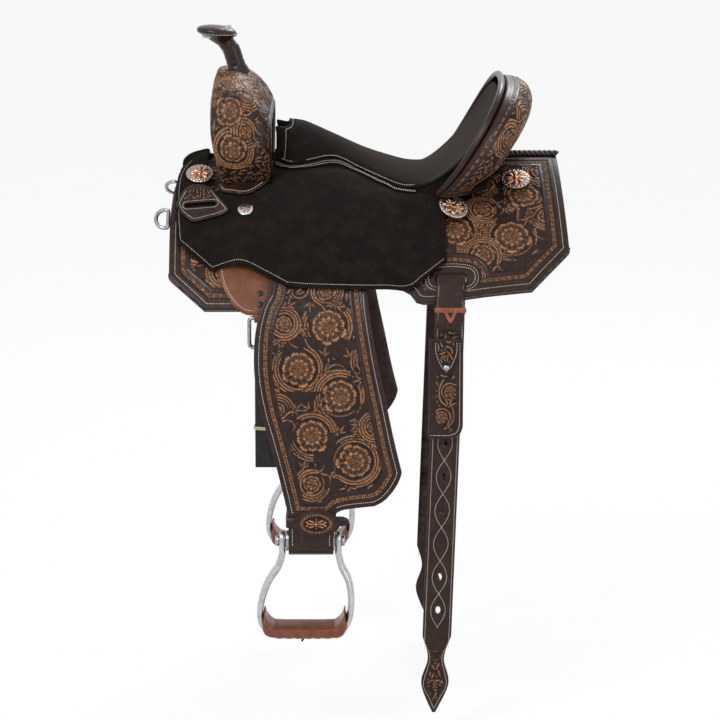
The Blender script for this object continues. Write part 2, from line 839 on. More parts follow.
def reach_forward(made, foot, way, tall):
    """Draws the horn's cap forward of its neck."""
    ahead = Vector((-cos(HORN_LEAN), 0, -sin(HORN_LEAN)))
    for v in made.verts:
        height = (v.co - foot).dot(way) / tall
        v.co += ahead * HORN_REACH * smooth((height - 0.45) / 0.55)
    return made


def make_horn():
    """The horn: a steel post with a cap, and the leather wound and stitched over it."""
    way = horn_axis()
    seat_z = FORK_TOP + COVER_LEATHER + LAYER_AIR
    foot = Vector((HORN_X, 0, seat_z))
    r, cap, tall = HORN_NECK_R, HORN_CAP_R, HORN_HEIGHT - 0.014
    w, gap = HORN_WRAP, 0.0006
    post = [(0, -0.008), (r + 0.004, -0.008), (r, 0.012), (r, tall - 0.016), (cap, tall - 0.006),
            (cap, tall), (0, tall)]
    skin = [
        (r + 0.0050, -0.008), (r + w + 0.008, -0.008), (r + w, 0.013), (r + w, tall - 0.020),
        (cap + w, tall - 0.008), (cap + w + 0.001, tall + 0.001), (cap - 0.004, tall + w + 0.003),
        (0, tall + w + 0.004), (0, tall + gap), (cap + gap, tall + gap),
        (cap + gap, tall - 0.0065), (r + gap, tall - 0.0168), (r + gap, 0.0123),
    ]
    for node, made, look in (
        ("horn_post", revolve(post, 18, foot, way), "steel"),
        ("horn_wrap", shell_of_revolution(skin, 18, foot, way), "tooled_leather"),
    ):
        below = prism(box_outline(HORN_X - 0.05, HORN_X + 0.05, -0.05, 0.05), seat_z - 0.05, seat_z)
        mesh = cut(to_mesh(reach_forward(made, foot, way, tall)), [to_mesh(below)])
        mesh_object(node, mesh, look)


def shell_of_revolution(profile, sides, at, axis):
    """A turned shell, open below and closed at its crown, from one profile line."""
    made = bmesh.new()
    rings = []
    for r, h in profile:
        if r < 1e-7:
            rings.append([made.verts.new((0, 0, h))])
        else:
            rings.append([made.verts.new((r * cos(tau * k / sides), r * sin(tau * k / sides), h))
                          for k in range(sides)])
    for low, high in zip(rings, rings[1:] + rings[:1]):
        for k in range(sides):
            n = (k + 1) % sides
            if len(low) == 1 and len(high) == 1:
                continue
            if len(low) == 1:
                made.faces.new((low[0], high[k], high[n]))
            elif len(high) == 1:
                made.faces.new((low[k], low[n], high[0]))
            else:
                made.faces.new((low[k], low[n], high[n], high[k]))
    face_out(made)
    turn = Vector((0, 0, 1)).rotation_difference(Vector(axis)).to_matrix().to_4x4()
    bmesh.ops.transform(made, matrix=Matrix.Translation(at) @ turn, verts=made.verts)
    return made


# Rows of the seat from front to rear: x and height at the middle, x and s at the edge, and
# how far the row has turned from a straight rib of the seat into the cantle's bow
SEAT_ROWS = (
    (SEAT_FRONT, 0.083, SEAT_FRONT, 0.048, 0.0),
    (-0.098, 0.068, -0.108, 0.060, 0.0),
    (-0.082, 0.064, -0.082, 0.055, 0.0),
    (-0.040, 0.045, -0.040, 0.044, 0.0),
    (0.002, 0.025, 0.000, 0.060, 0.0),
    (0.040, 0.010, 0.034, 0.082, 0.1),
    (0.078, -0.001, 0.056, 0.094, 0.3),
    (0.112, -0.001, 0.073, 0.100, 0.6),
    (0.142, 0.016, 0.085, 0.103, 0.85),
    (0.170, 0.044, 0.096, 0.105, 1.0),
    (0.196, 0.082, 0.106, 0.106, 1.0),
    (0.214, 0.122, 0.116, 0.108, 1.0),
)


def bow(turn):
    """Shares of a bow's depth and half width, for a turn from -1 at one end to 1."""
    far = min(abs(turn), 1.0)
    width = (1 - (1 - far) ** 3) * (1 if turn >= 0 else -1)
    return 1 - far**2.2, width


SEAT_AIR = 0.0010


def away(turn):
    """The level direction out of the cantle's bow at a turn."""
    angle = radians(80) * min(abs(turn), 1.0) ** 1.2
    return Vector((cos(angle), sin(angle) * (1 if turn >= 0 else -1), 0))


def floor_depth(x, s):
    """Depth of the top of the edging, with the air above it."""
    return jockey_depth(x, s) + ON_JOCKEY + EDGE_LIFT + EDGING_LEATHER + LAYER_AIR


def seat_floor(x, y):
    """Height of the layers that the seat rests on, or far below it over the channel."""
    low, high = 0.0, 0.2
    for _ in range(30):
        middle = (low + high) / 2
        if BACK.at(middle, floor_depth(x, middle))[0] < abs(y):
            low = middle
        else:
            high = middle
    return on_back(x, low, floor_depth(x, low))[1] if low > 0.022 else -1.0


def seat_point(row, turn, sink):
    """A point below the seat's surface: turn runs from -1 at one edge to 1 at the other."""
    x_mid, z_mid, x_edge, s_edge, bowed = row
    y_edge, z_edge = on_back(x_edge, s_edge, floor_depth(x_edge, s_edge) + SEAT_LEATHER + AIR)
    turn *= 1 - 2.6 * max(x_mid - CANTLE_FRONT + 0.006, 0)
    deep, wide = bow(turn)
    reach = CANTLE_HALF - 0.020 - 0.45 * (SEAT_ROWS[-1][0] - x_mid)
    belly = max(y_edge, y_edge + (reach - y_edge) * bowed)
    y = belly * wide - (belly - y_edge) * turn * abs(turn) ** 5
    lift = (1 - abs(wide) ** 2.2) * (1 - bowed) + deep**1.25 * bowed
    x = x_edge + (x_mid - x_edge) * deep
    z = z_edge + (z_mid - z_edge) * lift
    if row is SEAT_ROWS[0] and abs(turn) < HANDHOLE_TURN:
        x, z = x + HANDHOLE, z - 0.6 * HANDHOLE
    z = max(z, seat_floor(x, y) + SEAT_LEATHER + AIR)
    tilt = radians(55) * smooth((bowed - 0.3) / 0.6)
    sink *= 1 - 0.6 * bowed * smooth((abs(turn) - 0.45) / 0.25)
    return tuple(Vector((x, y, z)) + (away(turn) * sin(tilt) - Vector((0, 0, cos(tilt)))) * sink)


SEAT_ACROSS = 8


def seat_layer(top, bottom, columns, rows):
    """A closed layer of the seat between two depths below its surface."""
    outer, inner = [], []
    for row in rows:
        turns = [k / SEAT_ACROSS for k in range(-columns, columns + 1)]
        outer += [seat_point(row, t, top) for t in turns]
        inner += [seat_point(row, t, bottom) for t in turns]
    return closed_grid(len(rows), outer, inner)


def rest_block(side):
    """The room that the bars, jockey and edging take under the seat on one side."""
    shape = box_outline(-0.150, 0.150, 0.024, 0.230)
    block = lay("rest", "suede", side, shape, 0.040,
                lambda x, s: floor_depth(x, s) + 0.6 * AIR - 0.040)
    mesh = block.data
    bpy.data.objects.remove(block)
    return mesh


def make_seat():
    cover = SEAT_LEATHER
    foam = cover + SEAT_AIR
    base = foam + FOAM + SEAT_AIR
    rests = [rest_block(side) for _, side in SIDES]
    for node, top, thick, columns, rows, look in (
        ("seat_cover", 0, cover, SEAT_ACROSS, SEAT_ROWS, "seat_suede"),
        ("seat_foam", foam, FOAM, SEAT_ACROSS // 2, SEAT_ROWS[1:7], "foam"),
        ("ground_seat", base, GROUND_SEAT, SEAT_ACROSS // 2, SEAT_ROWS[1:7], "rigging"),
    ):
        mesh = cut(to_mesh(seat_layer(top, top + thick, columns, rows)), rests)
        keep_largest(mesh)
        mesh_object(node, mesh, look)


def cantle_line(turn, share):
    """The cantle's outer face: share runs from its rim at 0 to its foot at 1."""
    deep, wide = bow(turn)
    far = min(abs(turn), 1.0)
    side = 1 if turn >= 0 else -1
    tuck = (CANTLE_HALF - 0.138) * far**6 * side
    end_z = BACK.at(0.128, JOCKEY_OVER_BAR + JOCKEY_LEATHER)[1] + 0.0015
    rim = Vector((
        CANTLE_FRONT + (CANTLE_BACK - CANTLE_FRONT) * deep,
        CANTLE_HALF * wide - tuck,
        end_z + (CANTLE_TOP - end_z) * deep**1.25,
    ))
    foot = Vector((
        0.167 + 0.055 * deep,
        (CANTLE_HALF - 0.006) * wide - tuck * 0.9,
        -0.030 + 0.048 * deep**0.6,
    ))
    angle = radians(80) * far**1.2
    swell = (CANTLE_ROLL * (1 - far**1.5) + 0.005) * sin(pi * share**0.55)
    out = Vector((cos(angle), sin(angle) * side, 0))
    return rim.lerp(foot, share) + out * swell


CANTLE_STEPS = (0.0, 0.11, 0.22, 0.33, 0.44, 0.56, 0.67, 0.78, 0.87, 0.94, 1.0)


def cantle_turns(short=0):
    """Places across the cantle, closer at its ends; short leaves out that many at each end."""
    half = CANTLE_STEPS[: len(CANTLE_STEPS) - short]
    return [-t for t in half[:0:-1]] + list(half)


CANTLE_SHARES = (0.0, 0.07, 0.18, 0.32, 0.60, 1.0)


def cantle_layer(outer_depth, inner_depth, turns, shares):
    outer, inner = [], []
    for turn in turns:
        for share in shares:
            p, n = cantle_line(turn, share), away(turn)
            outer.append(p + n * outer_depth)
            inner.append(p + n * inner_depth)
    return closed_grid(len(turns), outer, inner)


def make_cantle():
    skin = cantle_layer(0.0, -COVER_LEATHER, cantle_turns(), CANTLE_SHARES)
    mesh_object("cantle_back", to_mesh(skin), "tooled_leather")
    board = COVER_LEATHER + SEAT_AIR + AIR
    wood = cantle_layer(-board, -board - 0.009, cantle_turns(2), (0.09,) + CANTLE_SHARES[2:])
    mesh_object("tree_cantle", to_mesh(wood), "tree_wood")


def make_edging():
    """The scalloped strip of leather under the seat's edge."""
    rows = [(r[2], r[3]) for r in SEAT_ROWS[:9]]
    lower = curve_through([(x, s + 0.010) for x, s in rows], 4)
    upper = [(x, s - 0.014) for x, s in rows]
    scalloped = []
    for k in range(len(lower) - 1):
        (x0, s0), (x1, s1) = lower[k], lower[k + 1]
        scalloped += [(x0, s0), ((x0 + x1) / 2, (s0 + s1) / 2 + 0.0030)]
    scalloped.append(lower[-1])
    shape = scalloped + upper[::-1]
    for name, side in SIDES:
        lay("seat_edging_" + name, "seat_suede", side, shape, EDGING_LEATHER,
            lambda x, s: jockey_depth(x, s) + ON_JOCKEY + EDGE_LIFT)


def fender_path():
    """From the bar down the back, out to the vertical, round the bolt and up behind."""
    start_y, start_z = BACK.at(STRAP_TOP, FENDER_IN)
    start_angle = BACK.angle(STRAP_TOP)
    stretches = follow(FENDER_IN, STRAP_TOP, FENDER_LEAVES)
    stretches.append(((pi / 2 - BACK.angle(FENDER_LEAVES)) * FLARE_RADIUS, 1 / FLARE_RADIUS))
    drop = Path(start_y, start_z, start_angle, stretches).joints[-1][2] - BOLT_Z
    loop = SLEEVE_R + 2 * AIR
    stretches += [(drop, 0), (pi * loop, 1 / loop), (0.085, 0)]
    return Path(start_y, start_z, start_angle, stretches)


FENDER_LINE = fender_path()
FENDER_LOOP = FENDER_LINE.joints[-3][0]


def flat_s(z):
    """Length down the fender's leather at which it hangs at height z."""
    return FENDER_LINE.s_at_height(z, 0.0, FENDER_LOOP)


def jockey_edge_height():
    return BACK.at(JOCKEY_DROP, JOCKEY_OVER_FENDER)[1]


SEAM_DROP = 0.0120
SEAM = flat_s(jockey_edge_height() - SEAM_DROP)


def fender_outline():
    """The fender: wide at the knee, full in the calf, drawn in to the neck."""
    half = FENDER_WIDTH / 2
    left, right = FENDER_X - half, FENDER_X + half
    neck_left, neck_right = NECK_X - NECK_WIDTH / 2, NECK_X + NECK_WIDTH / 2
    end = FENDER_LINE.length
    return outline(
        [(left + 0.006, SEAM), (right + 0.014, SEAM)],
        [(right + 0.014, SEAM), (right + 0.017, flat_s(-0.201)), (right + 0.028, flat_s(-0.264)),
         (right + 0.041, flat_s(-0.326)), (right + 0.054, flat_s(-0.389)),
         (right + 0.065, flat_s(-0.434))],
        [(right + 0.065, flat_s(-0.434)), (right + 0.052, flat_s(-0.466)),
         (right + 0.024, flat_s(-0.490))],
        [(right + 0.024, flat_s(-0.490)), (neck_right + 0.016, flat_s(-0.493)),
         (neck_right, flat_s(-0.502))],
        [(neck_right, flat_s(-0.502)), (neck_right, end)],
        [(neck_right, end), (neck_left, end)],
        [(neck_left, end), (neck_left, flat_s(-0.503))],
        [(neck_left, flat_s(-0.503)), (-0.123, flat_s(-0.445)), (-0.138, flat_s(-0.387)),
         (-0.150, flat_s(-0.343)), (-0.158, flat_s(-0.301)), (-0.161, flat_s(-0.264)),
         (-0.159, flat_s(-0.222)), (-0.151, flat_s(-0.186)), (left + 0.006, SEAM)],
        per_span=2,
    )


def shoulder_outline():
    """The stirrup leather in the bar's groove, widening to the fender's shoulders."""
    half, strap = FENDER_WIDTH / 2, 0.0255
    low = SEAM - 0.0012
    return outline(
        [(FENDER_X - strap, 0.0), (FENDER_X + strap, 0.0)],
        [(FENDER_X + strap, 0.0), (FENDER_X + strap, 0.060)],
        [(FENDER_X + strap, 0.060), (FENDER_X + strap + 0.010, 0.105),
         (FENDER_X + half + 0.004, 0.155), (FENDER_X + half + 0.014, low)],
        [(FENDER_X + half + 0.014, low), (FENDER_X - half + 0.006, low)],
        [(FENDER_X - half + 0.006, low), (FENDER_X - half + 0.018, 0.155),
         (FENDER_X - strap - 0.010, 0.105), (FENDER_X - strap, 0.060)],
        [(FENDER_X - strap, 0.060), (FENDER_X - strap, 0.0)],
    )


def bolt_y():
    y, _, _ = FENDER_LINE.place(FENDER_LOOP)
    return y - SLEEVE_R - 2 * AIR


def bend_lines(path):
    """Score lines for a path: more where it bends hard."""
    lines = []
    for (s0, *_), (s1, *_), bend in zip(path.joints, path.joints[1:], path.bends):
        count = max(1, ceil((s1 - s0) * max(bend, 0.0) / 0.42))
        count = max(count, ceil((s1 - s0) / 0.030)) if 0 < bend < 10 else count
        lines += [s0 + (s1 - s0) * k / count for k in range(count)]
    return [s for s in lines if s > 1e-6]


def lay_on(name, look, side, points, thickness, path, depth=0.0, holes=(), shift=0.0):
    """Leather cut flat and laid on a path that bends at its own places."""
    low, high = min(p[1] for p in points), max(p[1] for p in points)
    scores = [s for s in bend_lines(path) if low + 1e-6 < s < high - 1e-6]
    made = flat_leather(points, thickness, holes, [], scores)
    for v in made.verts:
        y, z = path.at(v.co.y, depth + v.co.z)
        v.co = (v.co.x + shift, side * y, z)
    face_out(made)
    return mesh_object(name, to_mesh(made, name), look)


HOBBLE_Z = -0.5125
HOBBLE_DEPTH = 0.0030


def rounded_loop(y0, y1, z0, z1, radius, sides=3):
    """A closed rounded rectangle in (y, z)."""
    out = []
    corners = ((y1 - radius, z1 - radius, 0), (y0 + radius, z1 - radius, 1),
               (y0 + radius, z0 + radius, 2), (y1 - radius, z0 + radius, 3))
    for y, z, k in corners:
        for i in range(sides + 1):
            a = pi / 2 * (k + i / sides)
            out.append((y + radius * cos(a), z + radius * sin(a)))
    return out


def make_fenders():
    y_plane = FENDER_LINE.joints[-3][1]
    y_mid = bolt_y()
    for name, side in SIDES:
        lay_on("stirrup_leather_" + name, "tooled_leather", side, shoulder_outline(),
               FENDER_LEATHER, FENDER_LINE)
        lay_on("fender_" + name, "tooled_leather", side, fender_outline(), FENDER_LEATHER,
               FENDER_LINE)
        front = y_plane + FENDER_LEATHER + AIR
        rear = 2 * y_mid - front
        left, right = NECK_X - NECK_WIDTH / 2 - 0.001, NECK_X + NECK_WIDTH / 2 + 0.001
        ring = rounded_loop(left, right, side * front if side < 0 else rear,
                            -rear if side < 0 else front, 0.0015)
        points = [(x, y, HOBBLE_Z) for x, y in ring]
        half, thick = 0.0080, HOBBLE_DEPTH
        section = [(-half, 0), (half, 0), (half, thick), (-half, thick)]
        hobble(name, side, points, section)
        make_stirrup(name, side, y_mid)


def hobble(name, side, points, section):
    """The hobble strap: a belt round the neck's two plies, with an oval on its front."""
    SWEEP_NORMAL[0] = Vector((0, 0, 1))
    belt = to_mesh(sweep(outward(points), lambda k: section, True))
    front = side * (FENDER_LINE.joints[-3][1] + FENDER_LEATHER + AIR + HOBBLE_DEPTH - 0.0008)
    oval = revolve([(0, 0), (1, 0), (0.94, 0.0024), (0, 0.0030)], 20, (0, 0, 0), (0, side, 0))
    bmesh.ops.scale(oval, vec=(0.0345, 1, 0.0205), verts=oval.verts)
    bmesh.ops.translate(oval, vec=(FENDER_X + 0.0065, front, HOBBLE_Z - 0.001), verts=oval.verts)
    mesh_object("hobble_strap_" + name, cut(belt, [to_mesh(oval)], "UNION"), "tooled_leather")


def outward(points):
    """The loop's points, turned so that the section's height points away from its middle."""
    area = 0.0
    for (x0, y0, _), (x1, y1, _) in zip(points, points[1:] + points[:1]):
        area += x0 * y1 - x1 * y0
    return points if area > 0 else points[::-1]


def stirrup_line():
    """Half of the stirrup frame's middle line in (x from its centre, z), ear to tread."""
    half = STIRRUP_HALF
    return [
        (EAR_HALF, BOLT_Z + 0.012),
        (EAR_HALF, BOLT_Z - 0.022),
        (half - 0.022, BOLT_Z - 0.040),
        (half - 0.008, BOLT_Z - 0.066),
        (half - 0.001, BOLT_Z - 0.100),
        (half - 0.003, TREAD_Z + 0.014),
        (half - 0.016, TREAD_Z - 0.002),
    ]


def lean(z):
    """How far forward the stirrup's lower part is cast, at a height."""
    return STIRRUP_LEAN * smooth((BOLT_Z - 0.020 - z) / (BOLT_Z - 0.020 - TREAD_Z))


def stirrup_points(y):
    """The frame's whole middle line, from one ear round to the other."""
    line = curve_through(stirrup_line(), 2)
    front = [(STIRRUP_X - dx - lean(z), y, z) for dx, z in line]
    rear = [(STIRRUP_X + dx - lean(z), y, z) for dx, z in line]
    return front + rear[::-1]


def make_stirrup(name, side, y_mid):
    """The cast aluminium frame, the bolt through its ears, and the wrapped tread."""
    y = side * y_mid
    points = stirrup_points(y)
    count = len(points)

    def section(k):
        """A flat band, narrow at the ears and as wide as the tread below."""
        share = min(k, count - 1 - k) / (count / 2 - 1)
        wide = 0.0115 + (TREAD_DEPTH / 2 - 0.004 - 0.0115) * smooth(share * 1.15)
        thick, edge = 0.0046, 0.0016
        return [(-wide + edge, -thick), (wide - edge, -thick), (wide, -thick + edge),
                (wide, thick - edge), (wide - edge, thick), (-wide + edge, thick),
                (-wide, thick - edge), (-wide, -thick + edge)]

    SWEEP_NORMAL[0] = Vector((0, 1, 0))
    frame = to_mesh(sweep(points, section))
    reach = EAR_HALF + 0.012
    hole = revolve([(0, 0), (BOLT_R + AIR, 0), (BOLT_R + AIR, 2 * reach), (0, 2 * reach)], 12,
                   (STIRRUP_X - reach, y, BOLT_Z), (1, 0, 0))
    mesh_object("stirrup_frame_" + name, cut(frame, [to_mesh(hole)]), "aluminium")
    make_bolt(name, y)
    make_tread(name, y)


def make_bolt(name, y):
    """The stirrup bolt with its sleeve, head and nut in one turned piece."""
    sleeve = EAR_HALF - 0.0046 - 0.0012
    ear = EAR_HALF + 0.0046 + 0.0008
    r, full, head = BOLT_R, SLEEVE_R, 0.0085
    profile = [(0, -ear - 0.006), (head, -ear - 0.006), (head, -ear), (r, -ear), (r, -sleeve),
               (full, -sleeve), (full, sleeve), (r, sleeve), (r, ear), (head, ear),
               (head, ear + 0.005), (0, ear + 0.005)]
    mesh_object("stirrup_bolt_" + name,
                to_mesh(revolve(profile, 16, (STIRRUP_X, y, BOLT_Z), (1, 0, 0))), "steel")


def make_tread(name, y):
    """The tread's leather: a roll round the bottom bar that climbs the branches a little."""
    points = [(STIRRUP_X - STIRRUP_LEAN + dx, y, z) for dx, z in (
        (-STIRRUP_HALF + 0.004, TREAD_Z + 0.016), (-STIRRUP_HALF + 0.006, TREAD_Z + 0.004),
        (-STIRRUP_HALF + 0.018, TREAD_Z - 0.003), (0, TREAD_Z - 0.003),
        (STIRRUP_HALF - 0.018, TREAD_Z - 0.003), (STIRRUP_HALF - 0.006, TREAD_Z + 0.004),
        (STIRRUP_HALF - 0.004, TREAD_Z + 0.016))]

    def rounded(wide, thick):
        edge = 0.004
        return [(-wide + edge, -thick), (wide - edge, -thick), (wide, -thick + edge),
                (wide, thick - edge), (wide - edge, thick), (-wide + edge, thick),
                (-wide, thick - edge), (-wide, -thick + edge)]

    SWEEP_NORMAL[0] = Vector((0, 1, 0))
    roll = to_mesh(sweep(points, lambda k: rounded(TREAD_DEPTH / 2 + 0.002, 0.0105)))
    grown = fat_frame(y)
    mesh = cut(roll, [grown])
    keep_largest(mesh)
    mesh_object("stirrup_tread_" + name, mesh, "tread_leather")


def fat_frame(y):
    """The frame's band grown by the air that its leather keeps."""
    points = stirrup_points(y)
    wide, thick = TREAD_DEPTH / 2 - 0.004 + AIR, 0.0046 + AIR
    section = [(-wide, -thick), (wide, -thick), (wide, thick), (-wide, thick)]
    SWEEP_NORMAL[0] = Vector((0, 1, 0))
    return to_mesh(sweep(points, lambda k: section))


def keep_largest(mesh):
    """Leaves only the largest body of a mesh."""
    made = bmesh.new()
    made.from_mesh(mesh)
    left = set(made.verts)
    parts = []
    while left:
        todo, part = [left.pop()], []
        while todo:
            v = todo.pop()
            part.append(v)
            for e in v.link_edges:
                other = e.other_vert(v)
                if other in left:
                    left.remove(other)
                    todo.append(other)
        parts.append(part)
    parts.sort(key=len)
    for part in parts[:-1]:
        bmesh.ops.delete(made, geom=part, context="VERTS")
    made.to_mesh(mesh)
    made.free()


def billet_path():
    """Out through the slot, over its lower edge, down the skirt and then straight down."""
    s = BILLET_SLOT
    bend = BILLET_BEND
    inside = 0.0045
    top = SKIRT_OUT + 0.0010 - bend
    y, z = BACK.at(s, top - inside)
    angle = BACK.angle(s)
    leaves = 0.302
    flare = 0.150
    path = Path(y, z, angle - pi / 2, [(inside, 0), (bend * pi / 2, 1 / bend)]
                + follow(SKIRT_OUT + 0.001, s, leaves)
                + [((pi / 2 - BACK.angle(leaves)) * flare, 1 / flare), (0.62, 0)])
    return shift_up(path, bend)


def shift_up(path, bend):
    """The same path moved so that its bend's centre lies at the slot."""
    angle = BACK.angle(BILLET_SLOT)
    s, y, z, a = path.joints[0]
    dy, dz = -bend * cos(angle), bend * sin(angle)
    stretches = [(b[0] - a[0], k) for a, b, k in zip(path.joints, path.joints[1:], path.bends)]
    return Path(y + dy, z + dz, a, stretches)


BILLET_LINE = billet_path()


def billet_pivot():
    """The middle of the billet's bend over the slot's edge."""
    _, y, z, angle = BILLET_LINE.joints[1]
    return y - BILLET_BEND * sin(angle), z - BILLET_BEND * cos(angle)


def billet_s(z):
    return BILLET_LINE.s_at_height(z, BILLET_LINE.joints[2][0])


def billet_x(z):
    """The billet's middle: it hangs a little forward."""
    return BILLET_X - 0.036 * (BACK.at(BILLET_SLOT, SKIRT_OUT)[1] - z)


def make_billets():
    half = BILLET_WIDTH / 2
    line = BILLET_LINE
    waist, bulge = -0.736, -0.776
    for name, side in SIDES:
        z_low = BILLET_BOTTOM
        pairs = [(billet_x(z), billet_s(z)) for z in (-0.230, -0.700)]
        top_x = BILLET_X
        shape = outline(
            [(top_x - half, 0.0), (top_x + half, 0.0)],
            [(top_x + half, 0.0), (top_x + half, line.joints[2][0])],
            [(top_x + half, line.joints[2][0]), (pairs[1][0] + half, pairs[1][1])],
            [(pairs[1][0] + half, pairs[1][1]), (billet_x(waist) + 0.0125, billet_s(waist)),
             (billet_x(bulge) + half - 0.001, billet_s(bulge)),
             (billet_x(z_low) + 0.004, billet_s(z_low + 0.003)), (billet_x(z_low), billet_s(z_low))],
            [(billet_x(z_low), billet_s(z_low)), (billet_x(z_low) - 0.004, billet_s(z_low + 0.003)),
             (billet_x(bulge) - half + 0.001, billet_s(bulge)),
             (billet_x(waist) - 0.0125, billet_s(waist)), (pairs[1][0] - half, pairs[1][1])],
            [(pairs[1][0] - half, pairs[1][1]), (top_x - half, line.joints[2][0])],
            [(top_x - half, line.joints[2][0]), (top_x - half, 0.0)],
            per_span=4,
        )
        holes = []
        for k in range(BILLET_HOLES):
            z = -0.392 - BILLET_HOLE_PITCH * k
            holes.append(oval_outline(billet_x(z), billet_s(z), 0.0038, 0.0062))
        lay_on("billet_" + name, "tooled_leather", side, shape, BILLET_LEATHER, line, holes=holes)
        make_billet_lace(name, side)


def make_billet_lace(name, side):
    """The lacing that closes the billet's two plies: a band round it, with a small vee."""
    z = -0.189
    s, x = billet_s(z), billet_x(z)
    y0, z0 = BILLET_LINE.at(s, -0.0010)
    angle = BILLET_LINE.angle(s)
    half = BILLET_WIDTH / 2 + 0.0010
    thick = BILLET_LEATHER + 0.0020
    wall = 0.0022
    made = bmesh.new()
    ring_out = [(-half - wall, -wall), (half + wall, -wall), (half + wall, thick + wall),
                (-half - wall, thick + wall)]
    ring_in = [(-half, 0), (half, 0), (half, thick), (-half, thick)]
    rows = []
    for v in (-0.0050, 0.0050):
        row = []
        for loop in (ring_out, ring_in):
            for u, w in loop:
                yy = y0 + w * sin(angle) + v * cos(angle)
                zz = z0 + w * cos(angle) - v * sin(angle)
                row.append(made.verts.new((x + u, side * yy, zz)))
        rows.append(row)
    low, high = rows
    for k in range(4):
        n = (k + 1) % 4
        made.faces.new((low[k], low[n], high[n], high[k]))
        made.faces.new((low[4 + k], high[4 + k], high[4 + n], low[4 + n]))
        made.faces.new((low[k], low[4 + k], low[4 + n], low[n]))
        made.faces.new((high[k], high[n], high[4 + n], high[4 + k]))
    face_out(made)
    mesh_object("billet_lace_" + name, to_mesh(made), "brown_lace")


POUCH_TOP = -0.2285
POUCH_BOTTOM = -0.381
POUCH_DEPTH = 0.0150
POUCH_WIDTH = 0.0520


def make_pouch():
    """The tool pouch on the near billet: an open-topped pocket and its studded flap."""
    side = -1
    line = BILLET_LINE
    depth = BILLET_LEATHER + 2 * AIR
    x = billet_x((POUCH_TOP + POUCH_BOTTOM) / 2) - 0.0025
    half, wall = POUCH_WIDTH / 2, 0.0028
    s_top, s_low = billet_s(POUCH_TOP), billet_s(POUCH_BOTTOM)
    shape = outline(
        [(x - half, s_top), (x + half, s_top)],
        [(x + half, s_top), (x + half, s_low - 0.018)],
        [(x + half, s_low - 0.018), (x + half - 0.006, s_low - 0.005), (x + half - 0.020, s_low)],
        [(x + half - 0.020, s_low), (x - half, s_low)],
    )
    scores = [s for s in bend_lines(line) if s_top + 0.002 < s < s_low - 0.002]
    body = flat_leather(shape, POUCH_DEPTH, [], [], scores)
    hollow = prism(box_outline(x - half + wall, x + half - wall, s_top - 0.01, s_low - 0.022),
                   wall, POUCH_DEPTH - wall)
    made = bmesh_of(cut(to_mesh(body), [to_mesh(hollow)]))
    for v in made.verts:
        y, z = line.at(v.co.y, depth + v.co.z)
        v.co = (v.co.x, side * y, z)
    face_out(made)
    mesh_object("billet_pouch_left", to_mesh(made), "tooled_leather")
    make_flap(x, s_top)


FLAP_DEPTH = BILLET_LEATHER + 2 * AIR + POUCH_DEPTH + 0.0006


def flap_pivot():
    """The flap's fold, along its top."""
    return BILLET_LINE.at(billet_s(POUCH_TOP), FLAP_DEPTH)


def make_flap(x, s_top):
    """The pouch's flap, hinged along its top, with the snap stud through its point."""
    side = -1
    half, drop = 0.0190, 0.0520
    shape = outline(
        [(x - half, s_top - 0.0005), (x + half, s_top - 0.0005)],
        [(x + half, s_top - 0.0005), (x + half, s_top + 0.018), (x + half * 0.55, s_top + 0.040),
         (x, s_top + drop)],
        [(x, s_top + drop), (x - half * 0.55, s_top + 0.040), (x - half, s_top + 0.018),
         (x - half, s_top - 0.0005)],
    )
    thing = lay_on("pouch_flap_left", "tooled_leather", side, shape, 0.0030, BILLET_LINE,
                   FLAP_DEPTH)
    y, z = BILLET_LINE.at(s_top + 0.0410, FLAP_DEPTH + 0.0020)
    stud = revolve([(0, 0), (0.0052, 0), (0.0052, 0.0018), (0.0036, 0.0036), (0, 0.0042)], 12,
                   (x, side * y, z), (0, side, 0))
    mesh = cut(thing.data, [to_mesh(stud)], "UNION")
    bpy.data.objects.remove(thing)
    mesh_object("pouch_flap_left", mesh, "tooled_leather")


def concho(radius, tall, sides=24, scallops=12):
    """A concho's profile, turned, with a scalloped rim."""
    made = revolve([(0, 0), (radius, 0), (radius * 0.97, tall * 0.35), (radius * 0.72, tall * 0.55),
                    (radius * 0.42, tall * 0.9), (radius * 0.15, tall), (0, tall)],
                   sides, (0, 0, 0), (0, 0, 1))
    for v in made.verts:
        r = sqrt(v.co.x**2 + v.co.y**2)
        if r > radius * 0.9:
            wave = 1 - 0.045 * (1 - cos(scallops * atan2(v.co.y, v.co.x))) / 2
            v.co.x *= wave
            v.co.y *= wave
    return made


CONCHOS = (
    ("front_concho", -0.2490, 0.073, FRONT_CONCHO_R),
    ("rear_concho", 0.1390, 0.146, CONCHO_R),
    ("skirt_concho", 0.2420, 0.074, CONCHO_R),
    ("screw_concho", -0.1760, 0.159, SMALL_CONCHO_R),
)


def local_depth(x, s):
    """Depth of the outermost face of jockey or skirt at a place on the side."""
    on_jockey = x < 0.132 and s > 0.05
    return jockey_depth(x, s) + JOCKEY_LEATHER if on_jockey else SKIRT_OUT


def tilted_frame(x, s, side, reach):
    """A place just clear of the surface below a disc of the given reach, and its normal."""
    def point(dx, ds):
        y, z = on_back(x + dx, s + ds, local_depth(x + dx, s + ds))
        return Vector((x + dx, side * y, z))
    turns = [tau * k / 12 for k in range(12)]
    ring = [point(reach * cos(a), reach * sin(a)) for a in turns]
    ring += [point(reach / 2 * cos(a), reach / 2 * sin(a)) for a in turns] + [point(0, 0)]
    along = ring[0] - ring[6]
    down = ring[3] - ring[9]
    normal = along.cross(down).normalized()
    if normal.y * side < 0:
        normal = -normal
    middle = point(0, 0)
    lift = max((p - middle).dot(normal) for p in ring)
    return middle + normal * (lift + LAYER_AIR + 2 * AIR), normal


